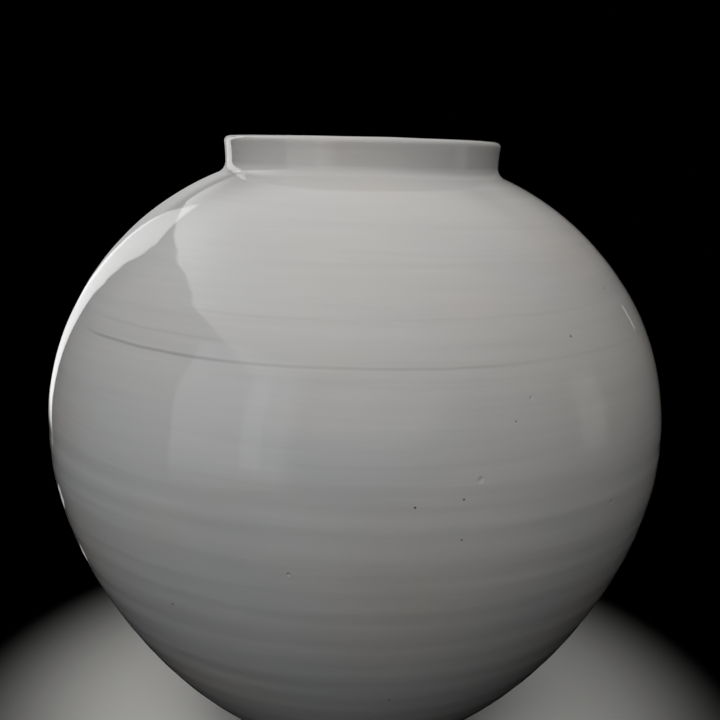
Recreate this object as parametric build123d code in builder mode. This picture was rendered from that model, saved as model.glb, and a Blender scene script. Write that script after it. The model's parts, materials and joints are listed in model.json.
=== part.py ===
from build123d import *
from math import acos, asin, cos, degrees, radians, sin
import os

# White porcelain moon jar: two thrown bowls luted rim to rim at the belly, with a collar and a
# foot ring luted on. Millimetres and degrees, +Z up. The jar stands on z = 0 and turns about Z.

# Belly, where the two bowls meet
belly_diameter = 440.0
bowl_wall = 7.0

# Outline of each bowl, from the belly outwards: an arc, then a second arc tangent to it
upper_belly_radius = 180.5
upper_belly_turn = 36.0
shoulder_radius = 203.0
lower_belly_radius = 201.5
lower_belly_turn = 18.7
flank_radius = 332.0

# Collar
collar_diameter = 192.6
collar_wall = 6.3
collar_height = 25.5
collar_spread = 5.2
lip_overhang = 0.9

# Foot and floor
foot_diameter = 165.0
foot_height = 9.0
foot_wall = 12.0
foot_taper = 2.0
foot_edge_rounding = 1.5
floor_thickness = 11.0
floor_rounding = 25.0

# Joints: a groove scored in each of the two faces, filled by one ring of slip
slip_width = 2.6
slip_depth = 1.4

# Coil pressed over the belly joint from inside
coil_height = 18.0
coil_thickness = 3.5


class BowlOutline:
    """Half section of a thrown bowl, as two tangent arcs that start upright at the belly.

    rim is the radius at the belly, and a turn is an angle travelled from there.
    """

    def __init__(self, rim, belly_radius, belly_turn, far_radius):
        self.rim = rim
        self.belly_radius = belly_radius
        self.belly_turn = belly_turn
        self.far_radius = far_radius
        shift = belly_radius - far_radius
        self.far_centre_out = rim - belly_radius + shift * cos(radians(belly_turn))
        self.far_centre_along = shift * sin(radians(belly_turn))

    def inside(self, wall):
        """The outline of the inner face, one wall further in."""
        return BowlOutline(
            self.rim - wall, self.belly_radius - wall, self.belly_turn, self.far_radius - wall
        )

    def turn_at_radius(self, radius):
        return degrees(acos((radius - self.far_centre_out) / self.far_radius))

    def turn_at_distance(self, distance):
        """Turn reached at a distance from the belly's plane."""
        return degrees(asin((distance - self.far_centre_along) / self.far_radius))

    def distance(self, turn):
        """Distance from the belly's plane on the far arc."""
        return self.far_centre_along + self.far_radius * sin(radians(turn))

    def draw(self, belly_z, direction, end_turn):
        """Add both arcs to the open line: direction is 1 upwards and -1 downwards."""
        belly = JernArc(
            (self.rim, belly_z), (0, direction), self.belly_radius, direction * self.belly_turn
        )
        return JernArc(
            belly @ 1, belly % 1, self.far_radius, direction * (end_turn - self.belly_turn)
        )

    def draw_near_belly(self, belly_z, direction, distance):
        """Add the belly arc alone, as far as a distance from the belly's plane."""
        turn = degrees(asin(distance / self.belly_radius))
        return JernArc((self.rim, belly_z), (0, direction), self.belly_radius, direction * turn)


def slip_section(radius, height):
    """Section of a scored joint, half in each of the two faces that meet at this height."""
    with BuildSketch(Plane.XZ) as section:
        with Locations((radius, height)):
            Rectangle(slip_width, 2 * slip_depth)
    return section.sketch


# Radii and heights that the pieces share
belly_rim = belly_diameter / 2
collar_outer = collar_diameter / 2
mouth_radius = collar_outer - collar_wall
seat_radius = collar_outer + collar_spread
foot_outer = foot_diameter / 2
foot_inner = foot_outer - foot_wall

upper_outline = BowlOutline(belly_rim, upper_belly_radius, upper_belly_turn, shoulder_radius)
lower_outline = BowlOutline(belly_rim, lower_belly_radius, lower_belly_turn, flank_radius)
upper_inside = upper_outline.inside(bowl_wall)
lower_inside = lower_outline.inside(bowl_wall)

foot_turn = lower_outline.turn_at_radius(foot_outer)
belly_z = foot_height + lower_outline.distance(foot_turn)
floor_z = foot_height + floor_thickness
floor_turn = lower_inside.turn_at_distance(belly_z - floor_z)
seat_turn = upper_outline.turn_at_radius(seat_radius)
seat_z = belly_z + upper_outline.distance(seat_turn)
mouth_turn = upper_inside.turn_at_radius(mouth_radius)
lip_z = seat_z + collar_height

belly_slip_section = slip_section(belly_rim - bowl_wall / 2, belly_z)
collar_slip_section = slip_section((mouth_radius + seat_radius) / 2, seat_z)
foot_slip_section = slip_section((foot_inner + foot_outer) / 2, foot_height)


# Foot ring: a low ring, drawn in a little towards the edge that it stands on
with BuildPart() as foot_ring:
    with BuildSketch(Plane.XZ):
        with BuildLine():
            Polyline(
                (foot_inner, foot_height),
                (foot_outer, foot_height),
                (foot_outer - foot_taper, 0),
                (foot_inner, 0),
                close=True,
            )
        make_face()
    revolve(axis=Axis.Z)
    standing_edges = foot_ring.edges().group_by(Axis.Z)[0].filter_by(GeomType.CIRCLE)
    fillet(standing_edges, foot_edge_rounding)
    revolve(foot_slip_section, axis=Axis.Z, mode=Mode.SUBTRACT)

# Luting slip between the foot ring and the lower bowl
with BuildPart() as foot_slip:
    revolve(foot_slip_section, axis=Axis.Z)

# Lower bowl: the belly drawn in to the foot, with the floor of the jar
with BuildPart() as lower_bowl:
    with BuildSketch(Plane.XZ):
        with BuildLine():
            flank = lower_outline.draw(belly_z, -1, foot_turn)
            base = Line(flank @ 1, (0, foot_height))
            axis_line = Line(base @ 1, (0, floor_z))
            inner_flank = lower_inside.draw(belly_z, -1, floor_turn)
            Line(axis_line @ 1, inner_flank @ 1)
            Line((lower_inside.rim, belly_z), (belly_rim, belly_z))
        make_face()
    revolve(axis=Axis.Z)
    floor_edge = lower_bowl.edges().filter_by(GeomType.CIRCLE).group_by(Axis.Z)[1]
    fillet(floor_edge, floor_rounding)
    revolve(foot_slip_section, axis=Axis.Z, mode=Mode.SUBTRACT)
    revolve(belly_slip_section, axis=Axis.Z, mode=Mode.SUBTRACT)

# Luting slip between the rims of the two bowls
with BuildPart() as belly_slip:
    revolve(belly_slip_section, axis=Axis.Z)

# Coil smoothed over the belly joint, against the inner face of both bowls
with BuildPart() as seam_coil:
    with BuildSketch(Plane.XZ):
        with BuildLine():
            above = upper_inside.draw_near_belly(belly_z, 1, coil_height / 2)
            below = lower_inside.draw_near_belly(belly_z, -1, coil_height / 2)
            ThreePointArc(above @ 1, (lower_inside.rim - coil_thickness, belly_z), below @ 1)
        make_face()
    revolve(axis=Axis.Z)

# Upper bowl: the belly closed in over the shoulder, cut level where the collar sits
with BuildPart() as upper_bowl:
    with BuildSketch(Plane.XZ):
        with BuildLine():
            shoulder = upper_outline.draw(belly_z, 1, seat_turn)
            seat = Line(shoulder @ 1, (mouth_radius, seat_z))
            inner_shoulder = upper_inside.draw(belly_z, 1, mouth_turn)
            Line(seat @ 1, inner_shoulder @ 1)
            Line((upper_inside.rim, belly_z), (belly_rim, belly_z))
        make_face()
    revolve(axis=Axis.Z)
    revolve(belly_slip_section, axis=Axis.Z, mode=Mode.SUBTRACT)
    revolve(collar_slip_section, axis=Axis.Z, mode=Mode.SUBTRACT)

# Luting slip under the collar
with BuildPart() as collar_slip:
    revolve(collar_slip_section, axis=Axis.Z)

# Neck collar: it springs from the shoulder's slope, stands upright and ends in a rounded lip
shoulder_slope = 90 - seat_turn
spread_radius = collar_spread / (1 - sin(radians(shoulder_slope)))
lip_radius = (collar_wall + lip_overhang) / 2
with BuildPart() as neck_collar:
    with BuildSketch(Plane.XZ):
        with BuildLine():
            spread = JernArc(
                (seat_radius, seat_z),
                (-cos(radians(shoulder_slope)), sin(radians(shoulder_slope))),
                spread_radius,
                -(90 - shoulder_slope),
            )
            wall = TangentArc(
                spread @ 1, (collar_outer + lip_overhang, lip_z - lip_radius), tangent=spread % 1
            )
            lip = ThreePointArc(
                wall @ 1,
                (mouth_radius + lip_radius, lip_z),
                (mouth_radius, lip_z - lip_radius),
            )
            Polyline(lip @ 1, (mouth_radius, seat_z), (seat_radius, seat_z))
        make_face()
    revolve(axis=Axis.Z)
    revolve(collar_slip_section, axis=Axis.Z, mode=Mode.SUBTRACT)


os.makedirs("parts", exist_ok=True)
pieces = {
    "foot_ring": foot_ring,
    "foot_slip": foot_slip,
    "lower_bowl": lower_bowl,
    "belly_slip": belly_slip,
    "seam_coil": seam_coil,
    "upper_bowl": upper_bowl,
    "collar_slip": collar_slip,
    "neck_collar": neck_collar,
}
for name, piece in pieces.items():
    piece.part.label = name
    export_step(piece.part, f"parts/{name}.step")

print(f"belly seam {belly_z:.2f}, collar seat {seat_z:.2f}, height {lip_z:.2f}")
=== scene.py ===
# Looks of a white porcelain moon jar: bowls, collar, coil and foot turned on the wheel and glazed.
import json
from functools import partial
from math import acos, asin, ceil, copysign, cos, exp, pi, radians, sin, tau

import bpy
from mathutils import Matrix, Vector


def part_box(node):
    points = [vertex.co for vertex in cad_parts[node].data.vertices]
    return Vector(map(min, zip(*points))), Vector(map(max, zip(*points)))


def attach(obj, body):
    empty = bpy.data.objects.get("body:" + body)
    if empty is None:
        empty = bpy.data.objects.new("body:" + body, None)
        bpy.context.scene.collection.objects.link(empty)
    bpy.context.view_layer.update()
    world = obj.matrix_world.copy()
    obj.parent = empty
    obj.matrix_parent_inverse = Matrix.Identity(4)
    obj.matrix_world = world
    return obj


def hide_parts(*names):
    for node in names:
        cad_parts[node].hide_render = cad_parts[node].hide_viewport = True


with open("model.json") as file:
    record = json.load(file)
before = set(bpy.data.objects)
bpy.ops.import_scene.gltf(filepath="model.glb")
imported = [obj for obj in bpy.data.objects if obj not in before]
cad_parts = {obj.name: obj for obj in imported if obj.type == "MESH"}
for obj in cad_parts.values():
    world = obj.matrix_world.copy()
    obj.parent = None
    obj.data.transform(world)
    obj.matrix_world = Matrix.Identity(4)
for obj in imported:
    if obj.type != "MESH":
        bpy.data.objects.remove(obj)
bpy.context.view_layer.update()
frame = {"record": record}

MM = 0.001

# Sizes that the frame gives
belly_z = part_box("upper_bowl")[0].z
belly_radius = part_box("upper_bowl")[1].x
seat_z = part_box("neck_collar")[0].z
seat_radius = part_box("neck_collar")[1].x
lip_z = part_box("neck_collar")[1].z
foot_top_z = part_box("lower_bowl")[0].z
foot_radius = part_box("foot_ring")[1].x
mounts = {mount["name"]: mount for mount in frame["record"]["mounts"]}
mouth_radius = mounts["mouth"]["dims"]["r_mm"] * MM

# Arcs of the two bowls, as in the solids: one arc at the belly, then a flatter one
UPPER_BELLY_ARC = 180.5 * MM
UPPER_BELLY_TURN = radians(36.0)
SHOULDER_ARC = 203.0 * MM
LOWER_BELLY_ARC = 201.5 * MM
LOWER_BELLY_TURN = radians(18.7)
FLANK_ARC = 332.0 * MM
BOWL_WALL = 7.0 * MM
FLOOR_THICKNESS = 11.0 * MM
FLOOR_ROUNDING = 25.0 * MM

# Collar, coil, foot and joints, as in the solids
COLLAR_RADIUS = 96.3 * MM
LIP_OVERHANG = 0.9 * MM
COIL_HEIGHT = 18.0 * MM
COIL_THICKNESS = 3.5 * MM
FOOT_WALL = 12.0 * MM
FOOT_TAPER = 2.0 * MM
FOOT_ROUNDING = 1.5 * MM
SLIP_WIDTH = 2.6 * MM
SLIP_DEPTH = 1.4 * MM

# Fineness of the turned meshes
SEGMENTS = 256
OUTER_ROW = 2.0 * MM
INNER_ROW = 3.0 * MM
SMALL_ROW = 0.4 * MM
SPREAD_ROW = 0.2 * MM
MERGE_DISTANCE = 0.01 * MM

# Edges that turn by more than this stay sharp; the collar's seat turns by 23 degrees
SHARP_EDGE = radians(20.0)

# Marks of the throwing: rings that show outside, as height and depth in millimetres. The belly seam stands
# up a little between the rings at 243 and 226.
OUTER_RINGS = (
    (367, 0.15), (346, 0.12), (319, 0.06), (296, 0.02), (272, 0.02), (243, 0.27), (226, 0.15), (202, 0.24),
    (190, 0.24), (177, 0.19), (156, 0.21), (138, 0.15), (120, 0.24), (103, 0.17), (88, 0.17), (71, 0.17),
    (55, 0.13), (38, 0.10),
)
RING_WIDTH = 5.5 * MM

# Finger rings inside the jar and trimming rings under it, which nobody smoothed away
FINGER_RING_SPACING = 14.0 * MM
FINGER_RING_DEPTH = 0.5 * MM
FINGER_RING_FADE = 12.0 * MM
TRIMMING_RING_SPACING = 6.0 * MM
TRIMMING_RING_DEPTH = 0.25 * MM

# How far the jar is out of round: one slow lean, and bands as the wheel's pull left them. The clouds that
# push it have more detail in one direction than in the other, so that the two aren't alike.
WARP = 2.0 * MM
WARP_SIZE = 150.0 * MM
WARP_DETAIL = (("X", 2), ("Y", 3))
BAND_WARP = 0.24 * MM
BAND_SIZE = (260.0 * MM, 260.0 * MM, 16.0 * MM)
LIP_DIP = 0.8 * MM
LIP_DIP_SIZE = 70.0 * MM
LIP_DIP_DETAIL = 1

# Camera, fitted to the photograph's outline of the jar
CAMERA_DISTANCE = 682.0 * MM
CAMERA_OVER_BELLY = 187.4 * MM
CAMERA_PITCH = radians(12.35)
CAMERA_ROLL = radians(1.51)
CAMERA_YAW = radians(0.183)
CAMERA_FOCAL_PIXELS = 936.0
FRAME_PIXELS = 720.0
SENSOR_WIDTH = 36.0


def linear(colour):
    """Linear RGBA of an sRGB hex colour such as "#c8c6c2"."""
    channels = [int(colour[i:i + 2], 16) / 255 for i in (1, 3, 5)]
    return [c / 12.92 if c <= 0.04045 else ((c + 0.055) / 1.055) ** 2.4 for c in channels] + [1.0]


def fill(made, inputs):
    """Set a node's inputs: a socket is linked, and any other value is written in."""
    for socket, value in inputs.items():
        if isinstance(value, bpy.types.NodeSocket):
            made.id_data.links.new(value, made.inputs[socket])
        else:
            made.inputs[socket].default_value = value


def node(tree, kind, inputs, output=0, **settings):
    """Add a node with its settings and inputs, and return one of its outputs."""
    made = tree.nodes.new(kind)
    for name, value in settings.items():
        setattr(made, name, value)
    fill(made, inputs)
    return made.outputs[output]


def new_material(name):
    """A node material, returned with its shader, the way to add nodes and its Object coordinates."""
    material = bpy.data.materials.new(name)
    material.use_nodes = True
    add = partial(node, material.node_tree)
    return material, material.node_tree.nodes["Principled BSDF"], add, add("ShaderNodeTexCoord", {}, "Object")


# The white of the glaze: cool at one end and warm at the other, a painted tint of light that is cool on the
# left and warm on the right
COOL_WHITE = "#c0c1c1"
WARM_WHITE = "#c6c1bb"
# Direction along which the painted tint of light goes from cool to warm
LIGHT_TINT_WAY = (0.8, 0.0, 0.6)
COOL_END = 60.0 * MM
WARM_END = 440.0 * MM

# Tints that lie in the glaze: colour, size of a patch in millimetres, and how strong it gets
GLAZE_TINTS = (
    ("#c6bcb3", (120, 120, 80), 0.45),
    ("#b6b9bc", (90, 90, 60), 0.40),
    ("#a8a7a6", (170, 170, 7), 0.20),
    ("#d2d0cf", (70, 70, 2.6), 0.15),
)
TINT_FROM = 0.48
TINT_TO = 0.72
GLAZE_ROUGHNESS = 0.06
GLAZE_IOR = 1.5

# Grey lines where glaze pooled in a groove: from angle and height to angle and height, width and strength.
# Angles are degrees from the front, positive to the right; heights and widths are millimetres.
GLAZE_LINES = (
    (-60, 319.8, -8, 317.8, 1.25, 0.36),
    (-24, 318.4, 36, 318.8, 1.2, 0.19),
    (14, 319.0, 64, 321.2, 1.2, 0.08),
    (-58, 329.8, -14, 328.0, 1.3, 0.12),
    (-36, 342.0, 4, 341.6, 1.2, 0.09),
    (-6, 341.8, 62, 344.6, 1.2, 0.06),
)
LINE_GREY = "#6f706f"
LINE_WAVER = 1.2 * MM
LINE_WAVER_SIZE = (25 * MM, 25 * MM, 25 * MM)
LINE_START = 0.25
LINE_FADE = 0.35
LINE_CORE = 0.2

# Iron specks in the front of the jar, as degrees from the front, height and size in millimetres
IRON_SPECKS = (
    (38.5, 330, 1.0), (24.0, 290, 0.7), (8.5, 248, 1.0), (15.5, 251, 0.9), (15.5, 228, 0.8), (8.0, 109, 1.0),
    (-30.0, 170, 0.9), (57.5, 351, 0.8),
)
IRON_BROWN = "#4a443d"
SPECK_SPACING = 26.0 * MM
SPECK_SIZE = 0.9 * MM
SPECK_CORE = 0.3

# Pits where a bubble broke in the glaze: degrees from the front, height and size in millimetres
GLAZE_PITS = ((18.0, 261, 2.4), (27.2, 301, 1.6), (-9.0, 207, 1.6), (44.0, 232, 1.8))
PIT_DEPTH = 0.3 * MM
PIT_FLOOR = 0.2
RIPPLE_SIZE = (38 * MM, 38 * MM, 6 * MM)
RIPPLE_DEPTH = 0.05 * MM


def glaze_white(add, place):
    """The white of the glaze, with a painted tint of light from its cool end low on the left to its warm end
    high on the right.
    """
    along = add("ShaderNodeVectorMath", {0: place, 1: LIGHT_TINT_WAY}, "Value", operation="DOT_PRODUCT")
    warmed = add("ShaderNodeMapRange", {"Value": along, "From Min": COOL_END, "From Max": WARM_END})
    whites = {0: warmed, 6: linear(COOL_WHITE), 7: linear(WARM_WHITE)}
    return add("ShaderNodeMix", whites, 2, data_type="RGBA")


# Glazed porcelain: white clay under a clear glossy glaze. The glaze ran a little in the firing, so the white
# is drawn out in faint level streaks, pooled in a grey line, specked by iron and pitted by bubbles.
def glazed_porcelain():
    material, shader, add, place = new_material("glazed_porcelain")
    sides = add("ShaderNodeSeparateXYZ", {"Vector": place}).node.outputs
    towards = add("ShaderNodeMath", {0: sides["Y"], 1: -1.0}, operation="MULTIPLY")
    angle = add("ShaderNodeMath", {0: sides["X"], 1: towards}, operation="ARCTAN2")
    along = add("ShaderNodeMath", {0: angle, 1: belly_radius}, operation="MULTIPLY")
    unrolled = add("ShaderNodeCombineXYZ", {"X": along, "Y": sides["Z"]})

    # Patches and streaks
    colour = glaze_white(add, place)
    for layer, (tint, size, strength) in enumerate(GLAZE_TINTS):
        spread = add("ShaderNodeVectorMath", {0: place, 1: [s * MM for s in size]}, operation="DIVIDE")
        noise = {"Vector": spread, "W": layer, "Scale": 1.0}
        patches = add("ShaderNodeTexNoise", noise, noise_dimensions="4D")
        amount = add(
            "ShaderNodeMapRange",
            {"Value": patches, "From Min": TINT_FROM, "From Max": TINT_TO, "To Max": strength},
        )
        colour = add("ShaderNodeMix", {0: amount, 6: colour, 7: linear(tint)}, 2, data_type="RGBA")

    # Pooled lines
    spread = add("ShaderNodeVectorMath", {0: place, 1: LINE_WAVER_SIZE}, operation="DIVIDE")
    waver = add("ShaderNodeTexNoise", {"Vector": spread, "Scale": 1.0})
    height = add("ShaderNodeMath", {0: waver, 1: LINE_WAVER, 2: sides["Z"]}, operation="MULTIPLY_ADD")
    for start, start_height, end, end_height, width, strength in GLAZE_LINES:
        reach = {"Value": angle, "From Min": radians(start), "From Max": radians(end)}
        share = add("ShaderNodeMapRange", reach)
        climb = {0: share, 1: (end_height - start_height) * MM, 2: start_height * MM + LINE_WAVER / 2}
        middle = add("ShaderNodeMath", climb, operation="MULTIPLY_ADD")
        offset = add("ShaderNodeMath", {0: height, 1: middle}, operation="SUBTRACT")
        away = add("ShaderNodeMath", {0: offset}, operation="ABSOLUTE")
        amount = strength
        for value, nothing, full in (
            (away, width * MM, LINE_CORE * width * MM),
            (share, 0.0, LINE_START),
            (share, 1.0, 1.0 - LINE_FADE),
        ):
            part = add(
                "ShaderNodeMapRange", {"Value": value, "From Min": nothing, "From Max": full},
                interpolation_type="SMOOTHSTEP",
            )
            amount = add("ShaderNodeMath", {0: part, 1: amount}, operation="MULTIPLY")
        colour = add("ShaderNodeMix", {0: amount, 6: colour, 7: linear(LINE_GREY)}, 2, data_type="RGBA")

    # Iron specks: placed ones in front, scattered ones at the back
    speck_masks = []
    for degrees_round, speck_height, size in IRON_SPECKS:
        centre = (radians(degrees_round) * belly_radius, speck_height * MM, 0)
        away = add("ShaderNodeVectorMath", {0: unrolled, 1: centre}, "Value", operation="DISTANCE")
        reach = {"Value": away, "From Min": size * MM, "From Max": SPECK_CORE * size * MM}
        speck_masks.append(add("ShaderNodeMapRange", reach, interpolation_type="SMOOTHSTEP"))
    scatter = add("ShaderNodeTexVoronoi", {"Vector": place, "Scale": 1 / SPECK_SPACING})
    share = SPECK_SIZE / SPECK_SPACING
    speck = add("ShaderNodeMapRange", {"Value": scatter, "From Min": share, "From Max": SPECK_CORE * share})
    at_back = add("ShaderNodeMapRange", {"Value": sides["Y"], "From Min": 0.0, "From Max": 2 * SPECK_SPACING})
    speck_masks.append(add("ShaderNodeMath", {0: speck, 1: at_back}, operation="MULTIPLY"))
    for mask in speck_masks:
        colour = add("ShaderNodeMix", {0: mask, 6: colour, 7: linear(IRON_BROWN)}, 2, data_type="RGBA")

    # Ripple of the glaze, and pits
    spread = add("ShaderNodeVectorMath", {0: place, 1: RIPPLE_SIZE}, operation="DIVIDE")
    ripple = add("ShaderNodeTexNoise", {"Vector": spread, "Scale": 1.0})
    normal = add("ShaderNodeBump", {"Strength": 1.0, "Distance": RIPPLE_DEPTH, "Height": ripple})
    for degrees_round, pit_height, size in GLAZE_PITS:
        centre = (radians(degrees_round) * belly_radius, pit_height * MM, 0)
        away = add("ShaderNodeVectorMath", {0: unrolled, 1: centre}, "Value", operation="DISTANCE")
        reach = {"Value": away, "From Min": PIT_FLOOR * size * MM, "From Max": size * MM}
        rim = add("ShaderNodeMapRange", reach, interpolation_type="SMOOTHSTEP")
        bump = {"Strength": 1.0, "Distance": PIT_DEPTH, "Height": rim, "Normal": normal}
        normal = add("ShaderNodeBump", bump)
    finish = {"Base Color": colour, "Roughness": GLAZE_ROUGHNESS, "IOR": GLAZE_IOR, "Normal": normal}
    fill(shader, finish)
    return material


# Sizes on the foot's standing edge
GLAZE_END = 4.6 * MM
GLAZE_END_SOFTNESS = 0.6 * MM
GLAZE_END_WAVER = 3.0 * MM
GLAZE_END_WAVER_SIZE = (18 * MM, 18 * MM, 18 * MM)
FLUSH_WIDTH = 2.4 * MM
FLUSH_STRENGTH = 0.55
CLAY_GRAIN = (1.2 * MM, 1.2 * MM, 1.2 * MM)
CLAY_GRAIN_DETAIL = 4.0
CLAY_GRAIN_DEPTH = 0.12 * MM
GRIT_SPACING = 4.0 * MM
GRIT_SIZE = 0.8 * MM
GRIT_CORE = 0.4
GRIT_STRENGTH = 0.8

# Finishes of the foot: bare clay, its grain, the flush, the grit, and glaze above them
CLAY_BUFF = "#cabda8"
GRAIN_BUFF = "#b5a58d"
FLUSH_ORANGE = "#b98d63"
GRIT_BROWN = "#57493a"
CLAY_ROUGHNESS = 0.8
FOOT_GLAZE_ROUGHNESS = 0.07


# Bare porcelain: the standing edge, wiped clean of glaze before the firing, so it is dry, warm from the
# flame and set with kiln grit. The glaze ends above it in a wavering line with an orange flush. The
# clay's own grain is finer than can show, so it is drawn coarser.
def bare_porcelain():
    material, shader, add, place = new_material("bare_porcelain")
    height = add("ShaderNodeSeparateXYZ", {"Vector": place}, "Z")
    spread = add("ShaderNodeVectorMath", {0: place, 1: GLAZE_END_WAVER_SIZE}, operation="DIVIDE")
    waver = add("ShaderNodeTexNoise", {"Vector": spread, "Scale": 1.0})
    line = add("ShaderNodeMath", {0: waver, 1: GLAZE_END_WAVER, 2: height}, operation="MULTIPLY_ADD")
    glazed = add(
        "ShaderNodeMapRange",
        {"Value": line, "From Min": GLAZE_END, "From Max": GLAZE_END + GLAZE_END_SOFTNESS},
    )
    flushed = add(
        "ShaderNodeMapRange",
        {"Value": line, "From Min": GLAZE_END - FLUSH_WIDTH, "From Max": GLAZE_END, "To Max": FLUSH_STRENGTH},
    )
    spread = add("ShaderNodeVectorMath", {0: place, 1: CLAY_GRAIN}, operation="DIVIDE")
    clay = add("ShaderNodeTexNoise", {"Vector": spread, "Scale": 1.0, "Detail": CLAY_GRAIN_DETAIL})
    grit = add("ShaderNodeTexVoronoi", {"Vector": place, "Scale": 1 / GRIT_SPACING})
    share = GRIT_SIZE / GRIT_SPACING
    reach = {"Value": grit, "From Min": share, "From Max": GRIT_CORE * share, "To Max": GRIT_STRENGTH}
    dark_grit = add("ShaderNodeMapRange", reach)
    colour = linear(CLAY_BUFF)
    for amount, tint in (
        (clay, linear(GRAIN_BUFF)),
        (flushed, linear(FLUSH_ORANGE)),
        (dark_grit, linear(GRIT_BROWN)),
        (glazed, glaze_white(add, place)),
    ):
        colour = add("ShaderNodeMix", {0: amount, 6: colour, 7: tint}, 2, data_type="RGBA")
    gloss = {"Value": glazed, "To Min": CLAY_ROUGHNESS, "To Max": FOOT_GLAZE_ROUGHNESS}
    roughness = add("ShaderNodeMapRange", gloss)
    bare = add("ShaderNodeMath", {0: 1.0, 1: glazed}, operation="SUBTRACT")
    grain = add("ShaderNodeMath", {0: clay, 1: bare}, operation="MULTIPLY")
    bump = add("ShaderNodeBump", {"Strength": 1.0, "Distance": CLAY_GRAIN_DEPTH, "Height": grain})
    fill(shader, {"Base Color": colour, "Roughness": roughness, "IOR": GLAZE_IOR, "Normal": bump})
    return material


# Brush marks and lumps in the slip, and its tints
BRUSH_MARK = (14 * MM, 14 * MM, 0.5 * MM)
BRUSH_DEPTH = 0.1 * MM
SLIP_LUMP = (2 * MM, 2 * MM, 2 * MM)
SLIP_DETAIL = 3.0
LUMP_FROM = 0.5
LUMP_TO = 0.75
LUMP_STRENGTH = 0.5
SLIP_CREAM = "#cfc7b8"
BRUSHED_TINT = "#b3a893"
LUMP_TINT = "#a89c87"
SLIP_ROUGHNESS = (0.7, 0.95)


# Fired slip: clay thinned with water and brushed into the scored joints, so it is chalky, with brush marks
# along the ring.
def fired_slip():
    material, shader, add, place = new_material("fired_slip")
    spread = add("ShaderNodeVectorMath", {0: place, 1: BRUSH_MARK}, operation="DIVIDE")
    brushed = add("ShaderNodeTexNoise", {"Vector": spread, "Scale": 1.0, "Detail": SLIP_DETAIL})
    spread = add("ShaderNodeVectorMath", {0: place, 1: SLIP_LUMP}, operation="DIVIDE")
    lumps = add("ShaderNodeTexNoise", {"Vector": spread, "Scale": 1.0, "Detail": SLIP_DETAIL})
    reach = {"Value": lumps, "From Min": LUMP_FROM, "From Max": LUMP_TO, "To Max": LUMP_STRENGTH}
    thick = add("ShaderNodeMapRange", reach)
    colour = linear(SLIP_CREAM)
    for amount, tint in ((brushed, BRUSHED_TINT), (thick, LUMP_TINT)):
        colour = add("ShaderNodeMix", {0: amount, 6: colour, 7: linear(tint)}, 2, data_type="RGBA")
    smooth, chalky = SLIP_ROUGHNESS
    roughness = add("ShaderNodeMapRange", {"Value": lumps, "To Min": smooth, "To Max": chalky})
    bump = add("ShaderNodeBump", {"Strength": 1.0, "Distance": BRUSH_DEPTH, "Height": brushed})
    fill(shader, {"Base Color": colour, "Roughness": roughness, "Normal": bump})
    return material


# The pale floor: its size, how far out it stays pale, and where its painted falloff to black is full
FLOOR_RADIUS = 0.5
FLOOR_SIDES = 128
FLOOR_PALE = 0.12
FLOOR_PAINTED_DARK = 0.32
PAPER_WHITE = "#efeeea"
PAPER_PAINTED_DARK = "#000000"
PAPER_ROUGHNESS = 0.9


# Matte paper: pale under the jar, with a painted pool of light whose colour falls off to black round it.
def matte_paper():
    material, shader, add, place = new_material("matte_paper")
    # Painted pool of light: the colour goes from pale to black away from the middle
    out = add("ShaderNodeVectorMath", {0: place}, "Value", operation="LENGTH")
    fall = {"Value": out, "From Min": FLOOR_PALE, "From Max": FLOOR_PAINTED_DARK}
    dark = add("ShaderNodeMapRange", fall, interpolation_type="SMOOTHSTEP")
    tones = {0: dark, 6: linear(PAPER_WHITE), 7: linear(PAPER_PAINTED_DARK)}
    colour = add("ShaderNodeMix", tones, 2, data_type="RGBA")
    fill(shader, {"Base Color": colour, "Roughness": PAPER_ROUGHNESS, "Specular IOR Level": 0.0})
    return material


def rows_on(length, spacing):
    """Number of rows on a stretch of outline."""
    return max(1, ceil(length / spacing))


def straight(start, end, spacing):
    """Points (radius, height) on a straight stretch."""
    rows = rows_on(abs(end[0] - start[0]) + abs(end[1] - start[1]), spacing)
    return [tuple(a + (b - a) * i / rows for a, b in zip(start, end)) for i in range(rows + 1)]


def arc(centre, radius, start, end, spacing):
    """Points (radius, height) on an arc, by angle from the outward direction."""
    rows = rows_on(abs(end - start) * radius, spacing)
    turns = [start + (end - start) * i / rows for i in range(rows + 1)]
    return [(centre[0] + radius * cos(t), centre[1] + radius * sin(t)) for t in turns]


def scored(start, end, height, sink):
    """A level joint face from one radius to another, with the groove that was scored in its middle."""
    middle = (start + end) / 2
    half = copysign(SLIP_WIDTH / 2, end - start)
    groove = height + sink * SLIP_DEPTH
    return [
        (start, height), (middle - half, height), (middle - half, groove),
        (middle + half, groove), (middle + half, height), (end, height),
    ]


class BowlCurve:
    """Half section of a bowl: an arc at the belly, then a second arc tangent to it.

    up is 1 for a bowl that rises from the belly and -1 for one that goes down. A turn is an angle
    travelled from the belly, and an inset goes in from the outer face.
    """

    def __init__(self, up, belly_arc, belly_turn, far_arc):
        self.up = up
        self.belly_arc = belly_arc
        self.belly_turn = belly_turn
        self.far_arc = far_arc
        self.far_out = belly_radius - belly_arc + (belly_arc - far_arc) * cos(belly_turn)
        self.far_z = belly_z + up * (belly_arc - far_arc) * sin(belly_turn)

    def point(self, turn, inset):
        if turn < self.belly_turn:
            out, level, reach = belly_radius - self.belly_arc, belly_z, self.belly_arc - inset
        else:
            out, level, reach = self.far_out, self.far_z, self.far_arc - inset
        return out + reach * cos(turn), level + self.up * reach * sin(turn)

    def turn_at_radius(self, radius, inset):
        return acos((radius - self.far_out) / (self.far_arc - inset))

    def face(self, inset, end_turn, spacing):
        """Points from the belly to a turn."""
        rows = rows_on(self.far_arc * end_turn, spacing)
        return [self.point(end_turn * i / rows, inset) for i in range(rows + 1)]


UPPER = BowlCurve(1, UPPER_BELLY_ARC, UPPER_BELLY_TURN, SHOULDER_ARC)
LOWER = BowlCurve(-1, LOWER_BELLY_ARC, LOWER_BELLY_TURN, FLANK_ARC)


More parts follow.
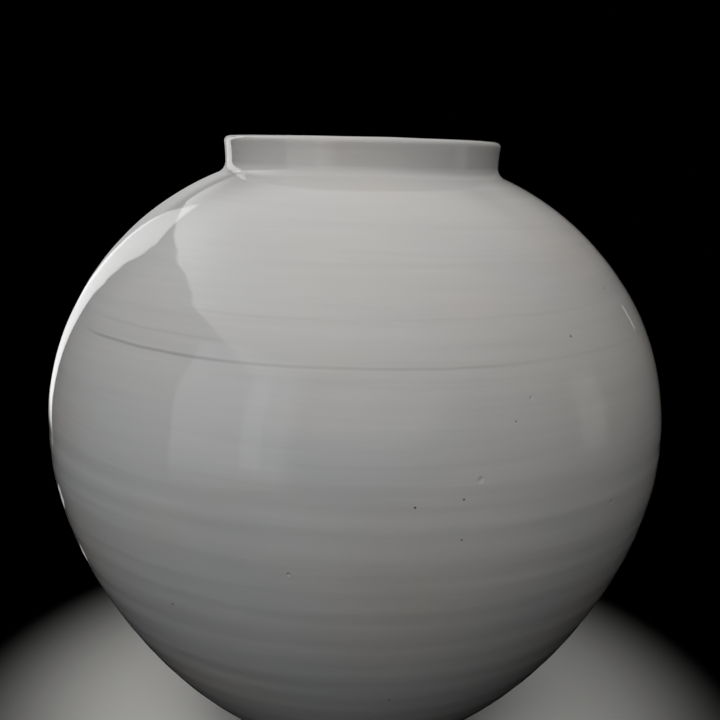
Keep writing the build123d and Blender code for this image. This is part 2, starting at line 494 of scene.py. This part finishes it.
def outer_marks(points):
    """Press the throwing rings into an outer face."""
    marked = []
    for radius, height in points:
        depth = 0.0
        for ring_height, ring_depth in OUTER_RINGS:
            depth += ring_depth * MM * exp(-((height - ring_height * MM) / RING_WIDTH) ** 2)
        marked.append((radius - depth, height))
    return marked


def finger_marks(points):
    """Press finger rings into an inner face, fading out where the coil and the collar sit."""
    marked = []
    for radius, height in points:
        rings = 0.5 - 0.5 * cos(tau * height / FINGER_RING_SPACING)
        near = min(abs(height - belly_z) - COIL_HEIGHT / 2, seat_z - BOWL_WALL - height)
        fade = min(1.0, max(0.0, near / FINGER_RING_FADE))
        marked.append((radius + FINGER_RING_DEPTH * rings * fade, height))
    return marked


def level_marks(points, spacing, depth):
    """Press rings up into a level face; they fade out at its edge."""
    edge = max(radius for radius, height in points)
    marked = []
    for radius, height in points:
        rings = 0.5 - 0.5 * cos(tau * radius / spacing)
        marked.append((radius, height + depth * rings * min(1.0, (edge - radius) / spacing)))
    return marked


def turn_on_wheel(name, outline):
    """Draw a closed half section as a chain of vertices and spin it about the jar's axis."""
    bpy.ops.object.select_all(action="DESELECT")
    bpy.ops.mesh.primitive_plane_add(size=SMALL_ROW)
    piece = bpy.context.object
    piece.name = name
    piece.data.name = name
    bpy.ops.object.mode_set(mode="EDIT")
    bpy.ops.mesh.merge(type="CENTER")
    bpy.ops.transform.translate(value=(outline[0][0], 0, outline[0][1]))
    for last, point in zip(outline, outline[1:] + outline[:1]):
        step = (point[0] - last[0], 0, point[1] - last[1])
        bpy.ops.mesh.extrude_region_move(TRANSFORM_OT_translate={"value": step})
    bpy.ops.mesh.select_all(action="SELECT")
    bpy.ops.mesh.spin(steps=SEGMENTS, angle=tau, center=(0, 0, 0), axis=(0, 0, 1))
    bpy.ops.mesh.select_all(action="SELECT")
    bpy.ops.mesh.remove_doubles(threshold=MERGE_DISTANCE)
    bpy.ops.mesh.normals_make_consistent(inside=False)
    bpy.ops.object.mode_set(mode="OBJECT")
    bpy.ops.object.shade_smooth_by_angle(angle=SHARP_EDGE)
    return piece


def displace(piece, direction, strength, size, detail, **settings):
    """Move a piece's points along one direction by clouds of a size, and apply the modifier."""
    clouds = bpy.data.textures.new(f"{piece.name}_clouds", "CLOUDS")
    clouds.noise_scale = size
    clouds.noise_depth = detail
    modifier = piece.modifiers.new("displace", "DISPLACE")
    modifier.texture = clouds
    modifier.texture_coords = "LOCAL"
    modifier.direction = direction
    modifier.strength = strength
    for name, value in settings.items():
        setattr(modifier, name, value)
    bpy.context.view_layer.objects.active = piece
    bpy.ops.object.modifier_apply(modifier=modifier.name)


# The bands' own scale: an empty whose stretch makes the clouds long and low
bpy.ops.object.select_all(action="DESELECT")
bpy.ops.object.empty_add()
band_scale = bpy.context.object
band_scale.scale = BAND_SIZE
bpy.context.view_layer.update()


def warp_by_hand(piece):
    """Push a turned piece out of round by fields that all pieces share, so that joints stay closed."""
    for direction, detail in WARP_DETAIL:
        displace(piece, direction, WARP, WARP_SIZE, detail)
        displace(
            piece, direction, BAND_WARP, 1.0, detail,
            texture_coords="OBJECT", texture_coords_object=band_scale,
        )


def dress(piece, material, cad_node):
    """Give a piece its material and its place on the body, and let it stand for a CAD node."""
    piece.data.materials.clear()
    piece.data.materials.append(material)
    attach(piece, "root")
    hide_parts(cad_node)


def model_upper_bowl():
    outline = outer_marks(UPPER.face(0, UPPER.turn_at_radius(seat_radius, 0), OUTER_ROW))
    outline += scored(seat_radius, mouth_radius, seat_z, -1)[1:]
    inner = UPPER.face(BOWL_WALL, UPPER.turn_at_radius(mouth_radius, BOWL_WALL), INNER_ROW)
    outline += finger_marks(inner)[::-1]
    outline += scored(belly_radius - BOWL_WALL, belly_radius, belly_z, 1)[1:-1]
    return turn_on_wheel("upper_bowl_thrown", outline)


def model_lower_bowl():
    outline = outer_marks(LOWER.face(0, LOWER.turn_at_radius(foot_radius, 0), OUTER_ROW))
    foot_inner = foot_radius - FOOT_WALL
    outline += scored(foot_radius, foot_inner, foot_top_z, 1)[1:-1]
    recess = straight((foot_inner, foot_top_z), (0, foot_top_z), OUTER_ROW / 2)
    outline += level_marks(recess, TRIMMING_RING_SPACING, TRIMMING_RING_DEPTH)
    floor_z = foot_top_z + FLOOR_THICKNESS
    rounding_z = floor_z + FLOOR_ROUNDING
    reach = LOWER.far_arc - BOWL_WALL - FLOOR_ROUNDING
    flank_turn = asin((LOWER.far_z - rounding_z) / reach)
    rounding_out = LOWER.far_out + reach * cos(flank_turn)
    floor = straight((0, floor_z), (rounding_out, floor_z), INNER_ROW)
    outline += level_marks(floor, FINGER_RING_SPACING, FINGER_RING_DEPTH)
    outline += arc((rounding_out, rounding_z), FLOOR_ROUNDING, -pi / 2, -flank_turn, INNER_ROW)[1:-1]
    outline += finger_marks(LOWER.face(BOWL_WALL, flank_turn, INNER_ROW))[::-1]
    outline += scored(belly_radius - BOWL_WALL, belly_radius, belly_z, -1)[1:-1]
    return turn_on_wheel("lower_bowl_thrown", outline)


def model_collar():
    slope = pi / 2 - UPPER.turn_at_radius(seat_radius, 0)
    spread = (seat_radius - COLLAR_RADIUS) / (1 - sin(slope))
    centre = (COLLAR_RADIUS + spread, seat_z + spread * cos(slope))
    outline = arc(centre, spread, pi + pi / 2 - slope, pi, SPREAD_ROW)
    lip = (COLLAR_RADIUS + LIP_OVERHANG - mouth_radius) / 2
    wall_low, wall_high = outline[-1][1], lip_z - lip
    rows = rows_on(wall_high - wall_low, OUTER_ROW)
    for i in range(1, rows):
        rise = i / rows
        outline.append((COLLAR_RADIUS + LIP_OVERHANG * rise ** 2, wall_low + (wall_high - wall_low) * rise))
    outline += arc((mouth_radius + lip, wall_high), lip, 0, pi, SMALL_ROW)
    outline += straight((mouth_radius, wall_high), (mouth_radius, seat_z), OUTER_ROW)[1:]
    outline += scored(mouth_radius, seat_radius, seat_z, 1)[1:-1]
    piece = turn_on_wheel("neck_collar_thrown", outline)
    rise = piece.vertex_groups.new(name="rise")
    for vertex in piece.data.vertices:
        rise.add([vertex.index], max(0.0, (vertex.co.z - wall_low) / (lip_z - wall_low)), "REPLACE")
    displace(piece, "Z", LIP_DIP, LIP_DIP_SIZE, LIP_DIP_DETAIL, vertex_group=rise.name, mid_level=1.0)
    return piece


def model_seam_coil():
    above = asin(COIL_HEIGHT / 2 / (UPPER.belly_arc - BOWL_WALL))
    below = asin(COIL_HEIGHT / 2 / (LOWER.belly_arc - BOWL_WALL))
    outline = UPPER.face(BOWL_WALL, above, SMALL_ROW)[::-1] + LOWER.face(BOWL_WALL, below, SMALL_ROW)[1:]
    high, low = outline[0], outline[-1]
    crown = belly_radius - BOWL_WALL - COIL_THICKNESS
    rows = rows_on(COIL_HEIGHT, OUTER_ROW)
    for i in range(1, rows):
        share = i / rows
        edge = low[0] + (high[0] - low[0]) * share
        bulge = 4 * share * (1 - share)
        outline.append((edge + (crown - edge) * bulge, low[1] + (high[1] - low[1]) * share))
    return turn_on_wheel("seam_coil_smoothed", outline)


def model_foot_ring():
    inner = foot_radius - FOOT_WALL
    outer = foot_radius - FOOT_TAPER
    outline = scored(inner, foot_radius, foot_top_z, -1)
    outline += arc((outer - FOOT_ROUNDING, FOOT_ROUNDING), FOOT_ROUNDING, 0, -pi / 2, SMALL_ROW)
    outline += arc((inner + FOOT_ROUNDING, FOOT_ROUNDING), FOOT_ROUNDING, -pi / 2, -pi, SMALL_ROW)
    return turn_on_wheel("foot_ring_trimmed", outline)


def model_slip(name, radius, height):
    """A ring of slip that fills the grooves of the two faces that meet at a height."""
    low, high = height - SLIP_DEPTH, height + SLIP_DEPTH
    inner, outer = radius - SLIP_WIDTH / 2, radius + SLIP_WIDTH / 2
    return turn_on_wheel(name, [(inner, low), (outer, low), (outer, high), (inner, high)])


glaze = glazed_porcelain()
slip = fired_slip()
belly_joint = belly_radius - BOWL_WALL / 2
collar_joint = (mouth_radius + seat_radius) / 2
foot_joint = foot_radius - FOOT_WALL / 2
for piece, material, slot, cad_node in (
    (model_upper_bowl(), glaze, "glazed_porcelain", "upper_bowl"),
    (model_lower_bowl(), glaze, "glazed_porcelain", "lower_bowl"),
    (model_collar(), glaze, "glazed_porcelain", "neck_collar"),
    (model_seam_coil(), glaze, "glazed_porcelain", "seam_coil"),
    (model_foot_ring(), bare_porcelain(), "bare_porcelain", "foot_ring"),
    (model_slip("belly_slip_fired", belly_joint, belly_z), slip, "luting_slip", "belly_slip"),
    (model_slip("collar_slip_fired", collar_joint, seat_z), slip, "luting_slip", "collar_slip"),
    (model_slip("foot_slip_fired", foot_joint, foot_top_z), slip, "luting_slip", "foot_slip"),
):
    warp_by_hand(piece)
    dress(piece, material, cad_node)
bpy.data.objects.remove(band_scale)

# Stage: a plain pale floor with a painted pool of light, which neither lights the jar from below nor shows in
# its glaze
bpy.ops.object.select_all(action="DESELECT")
bpy.ops.mesh.primitive_circle_add(vertices=FLOOR_SIDES, radius=FLOOR_RADIUS, fill_type="NGON")
floor = bpy.context.object
floor.name = "floor"
floor.data.materials.append(matte_paper())
floor.visible_glossy = False
floor.visible_diffuse = False


def softbox(name, place, target, width, height, radiance, roll=0.0, fades=(), mirrored=True):
    """A rectangular lamp that faces a point, rolled by an angle about that line.

    Radiance is how bright its face is. Each fade names a side of the face, X across it or Y up it,
    and the shares of that side between which the light falls from full to nothing. A lamp that isn't
    mirrored lights the clay but doesn't show in the glaze.
    """
    lamp = bpy.data.lights.new(name, "AREA")
    lamp.shape = "RECTANGLE"
    lamp.size = width
    lamp.size_y = height
    lamp.energy = radiance * pi * width * height
    lamp.use_nodes = True
    add = partial(node, lamp.node_tree)
    on_face = add("ShaderNodeNewGeometry", {}, "Parametric")
    sides = add("ShaderNodeSeparateXYZ", {"Vector": on_face}).node.outputs
    strength = 1.0
    for side, full, dark in fades:
        fall = {"Value": sides[side], "From Min": dark, "From Max": full}
        light = add("ShaderNodeMapRange", fall, interpolation_type="SMOOTHSTEP")
        strength = add("ShaderNodeMath", {0: light, 1: strength}, operation="MULTIPLY")
    fill(lamp.node_tree.nodes["Emission"], {"Strength": strength})
    holder = bpy.data.objects.new(name, lamp)
    holder.visible_glossy = mirrored
    bpy.context.scene.collection.objects.link(holder)
    facing = (Vector(target) - Vector(place)).to_track_quat("-Z", "Y")
    rolled = facing.to_matrix().to_4x4() @ Matrix.Rotation(roll, 4, "Z")
    holder.matrix_world = Matrix.Translation(place) @ rolled


# Fades that let a lamp's light fall off from its middle to both sides
SOFT_SIDES = [("X", 0.5, 1.0), ("X", 0.5, 0.0)]

# Studio light that the glaze mirrors: scrims overhead, strips, boxes and panels round the jar
softbox(
    "overhead_scrim", place=(0.1, -0.3, 1.3), target=(0.1, -0.3, 0), width=2.4, height=3.2, radiance=0.88,
    fades=[("X", 0.4, 1.15), ("Y", 0.35, 0.0), ("Y", 0.72, 1.0)],
)
softbox(
    "scrim_edge", place=(-0.8, 0.5, 1.29), target=(-0.8, 0.5, 0), width=0.6, height=2.8, radiance=1.0,
    fades=[("X", 0.0, 1.0), ("Y", 0.375, 0.0)],
)
softbox(
    "left_strip_light", place=(-1.375, 1.78, 0.57), target=(0.005, 0.01, 0.27), width=0.64, height=2.15,
    radiance=1.6, roll=radians(-12.4), fades=[("X", 1.0, -1.2), ("Y", 0.14, 0.0)],
)
softbox(
    "left_back_glow", place=(-0.72, 2.2, 0.75), target=(0, 0, 0.4), width=1.2, height=1.2, radiance=0.5,
    fades=[("Y", 0.7, 1.0)],
)
softbox(
    "front_softbox", place=(-1.29, -1.53, 0.76), target=(0, 0, 0.46), width=1.75, height=2.1, radiance=0.78,
    fades=[("X", 0.8, 1.0), ("Y", 0.85, 1.0), ("Y", 0.3, -0.15)],
)
softbox(
    "front_strip_light", place=(-1.07, -1.68, 0.8), target=(0, 0, 0.5), width=0.25, height=1.4, radiance=0.5,
    fades=[("Y", 0.8, 1.0)],
)
softbox(
    "front_panel", place=(0.1, -2.1, 1.0), target=(0, 0, 0.3), width=4.2, height=2.0, radiance=0.7,
    fades=SOFT_SIDES + [("Y", 0.55, 1.0), ("Y", 0.5, 0.0)],
)
softbox(
    "right_panel", place=(1.9, -0.15, 0.45), target=(0, 0, 0.35), width=0.6, height=1.0, radiance=0.4,
    fades=[("X", 0.7, 1.0), ("X", 0.3, 0.0), ("Y", 0.7, 1.0), ("Y", 0.3, 0.0)],
)

# Two high lamps that light the clay and don't show in the glaze
softbox(
    "high_front_light", place=(-0.12, -1.44, 1.64), target=(0, 0, 0.25), width=1.8, height=1.0, radiance=1.65,
    mirrored=False,
)
softbox(
    "high_right_light", place=(1.51, 0.27, 1.54), target=(0, 0, 0.25), width=1.0, height=1.0, radiance=0.6,
    mirrored=False,
)

# Two small cards near the floor that glint on the left edge
for name, place, target, width, height in (
    ("low_left_card", (-0.415, 0.35, 0.005), (-0.19, -0.1, 0.2), 0.05, 0.03),
    ("low_left_card_near", (-0.313, 0.19, 0.006), (-0.17, -0.11, 0.16), 0.04, 0.016),
):
    softbox(name, place, target, width, height, radiance=0.5)

# Light from behind on the right
softbox("right_strip", place=(1.5, 1.4, 0.53), target=(0, 0, 0.4), width=0.05, height=0.2, radiance=0.6)
softbox(
    "right_back_glow", place=(1.0, 2.1, 0.75), target=(0, 0, 0.4), width=1.6, height=1.1, radiance=0.12,
    fades=SOFT_SIDES + [("Y", 0.5, 1.0), ("Y", 0.5, 0.0)],
)
softbox(
    "right_back_high_glow", place=(1.0, 1.8, 1.1), target=(0, 0, 0.4), width=2.2, height=1.6, radiance=0.26,
    fades=SOFT_SIDES + [("Y", 0.8, 1.0), ("Y", 0.8, 0.2)],
)

# A dim fill, which the glaze doesn't mirror
FILL = 0.002
world = bpy.data.worlds.new("dim_studio")
bpy.context.scene.world = world
world.use_nodes = True
diffuse_ray = node(world.node_tree, "ShaderNodeLightPath", {}, "Is Diffuse Ray")
fill_light = node(world.node_tree, "ShaderNodeMath", {0: diffuse_ray, 1: FILL}, operation="MULTIPLY")
fill(world.node_tree.nodes["Background"], {"Color": linear("#ffffff"), "Strength": fill_light})

# Camera at the photograph's viewing angle
forward = Vector((
    sin(CAMERA_YAW) * cos(CAMERA_PITCH), cos(CAMERA_YAW) * cos(CAMERA_PITCH), -sin(CAMERA_PITCH)
))
level = Vector((cos(CAMERA_YAW), -sin(CAMERA_YAW), 0))
upright = level.cross(forward)
right = level * cos(CAMERA_ROLL) + upright * sin(CAMERA_ROLL)
top = upright * cos(CAMERA_ROLL) - level * sin(CAMERA_ROLL)
camera_data = bpy.data.cameras.new("camera")
camera_data.sensor_width = SENSOR_WIDTH
camera_data.lens = CAMERA_FOCAL_PIXELS / FRAME_PIXELS * SENSOR_WIDTH
camera = bpy.data.objects.new("camera", camera_data)
bpy.context.scene.collection.objects.link(camera)
turned = Matrix((right, top, -forward)).transposed().to_4x4()
camera.matrix_world = Matrix.Translation((0, -CAMERA_DISTANCE, belly_z + CAMERA_OVER_BELLY)) @ turned
bpy.context.scene.camera = camera
bpy.context.scene.view_settings.view_transform = "Standard"
